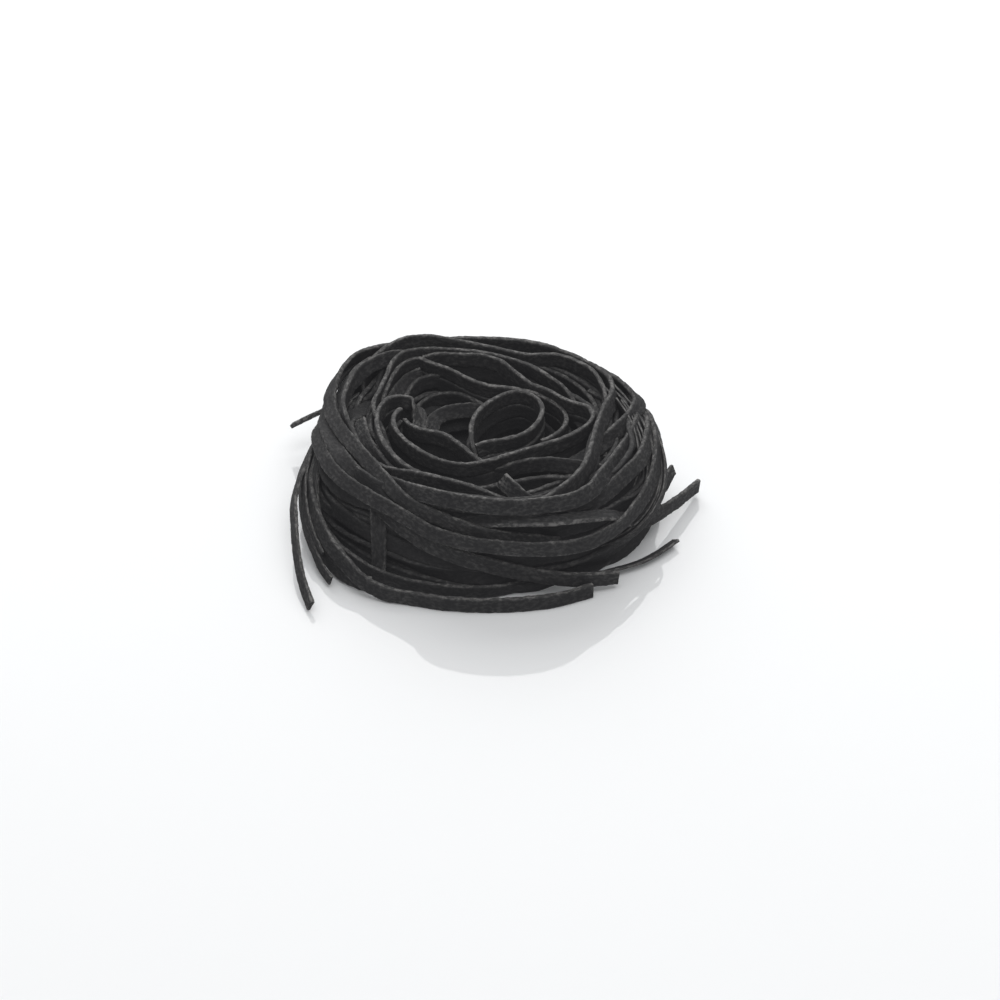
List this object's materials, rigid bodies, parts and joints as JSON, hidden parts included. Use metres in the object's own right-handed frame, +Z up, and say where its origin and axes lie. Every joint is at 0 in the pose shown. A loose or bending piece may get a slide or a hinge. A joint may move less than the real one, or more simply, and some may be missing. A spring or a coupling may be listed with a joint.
{
  "type": "dry pasta nest",
  "caption": "Dry nest of flat black pasta ribbons, coiled into a squat ring with a sunken middle of loops and a few loose ends.",
  "frame": {"origin": "on the floor, under the middle of the nest", "axes": "+Z up out of the crater; +X to the side with the two longer loose ends; -Y towards the side with the strand that lies on the floor"},
  "size_m": [0.0861, 0.0747, 0.0234],
  "materials": {
    "black_pasta": "matt, dry and floury: charcoal-black dough with a fine pale speckle"
  },
  "bodies": {
    "root": {"pasta_nest": "black_pasta"}
  },
  "joints": []
}
